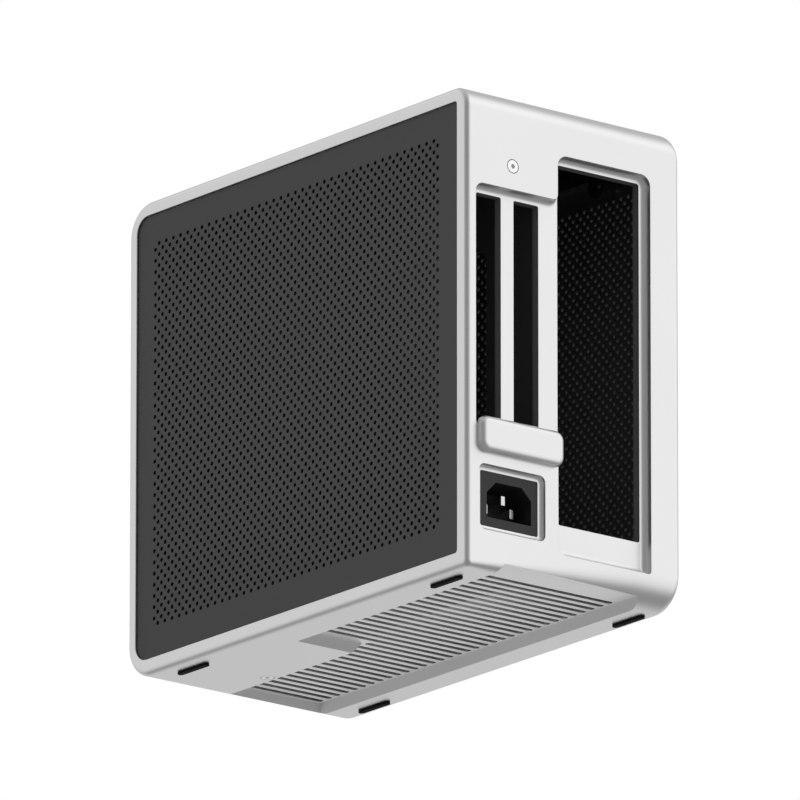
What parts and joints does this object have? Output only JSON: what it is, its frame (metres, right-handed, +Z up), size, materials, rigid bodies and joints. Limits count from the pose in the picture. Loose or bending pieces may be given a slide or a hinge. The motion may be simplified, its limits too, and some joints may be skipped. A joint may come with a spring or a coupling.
{
  "type": "mini-itx computer case",
  "caption": "Slim upright mini-ITX computer case: silver metal body, black perforated side panels, graphics card slots beside the board sockets, mains inlet and a ribbed vent below.",
  "frame": {"origin": "centre of the case's outline on the surface it stands on", "axes": "+Z up, +Y towards the rear with its sockets, +X towards the graphics card side"},
  "size_m": [0.116, 0.2371, 0.213],
  "materials": {
    "silver_body": "bead-blasted and anodised",
    "dark_panel": "matt black coat",
    "black_steel": "matt black coat",
    "bright_metal": "polished",
    "white_screw": "white coat",
    "black_screw": "black coat",
    "black_plastic": "fine grain",
    "foot_rubber": "matt",
    "standoff_brass": "plain",
    "circuit_board": "dark lacquer"
  },
  "bodies": {
    "chassis": {"outer_shell": "silver_body", "graphics_stud_clips": "black_plastic", "board_stud_clips": "black_plastic", "rear_plate": "black_steel", "tongue_cover": "silver_body", "bracket_clamp": "black_steel", "slot_screw": "white_screw", "inlet_body": "black_plastic", "inlet_blades": "bright_metal", "vent_plate": "silver_body", "vent_screws": "black_screw", "feet": "foot_rubber", "base_screws": "white_screw", "centre_spine": "black_steel", "spine_screws": "black_screw", "board_standoffs": "standoff_brass", "riser_bracket": "black_steel", "riser_board": "circuit_board", "riser_socket": "black_plastic", "riser_screws": "black_screw", "psu_bracket": "black_steel", "psu_screws": "black_screw", "power_switch": "black_plastic", "front_board": "circuit_board", "usb_socket": "bright_metal", "front_board_screws": "black_screw"},
    "graphics_panel": {"graphics_side_panel": "dark_panel", "graphics_panel_studs": "bright_metal"},
    "board_panel": {"board_side_panel": "dark_panel", "board_panel_studs": "bright_metal"},
    "button": {"power_button": "silver_body"}
  },
  "joints": [
    {"name": "graphics_panel_slide", "type": "slide", "parent": "chassis", "child": "graphics_panel", "axis": [1, 0, 0], "range_m": [0, 0.04]},
    {"name": "board_panel_slide", "type": "slide", "parent": "chassis", "child": "board_panel", "axis": [-1, 0, 0], "range_m": [0, 0.04]},
    {"name": "power_button_slide", "type": "slide", "parent": "chassis", "child": "button", "axis": [0, 1, 0], "range_m": [0, 0.0012], "stiffness_N_per_m": 400, "springref_m": -0.001}
  ]
}
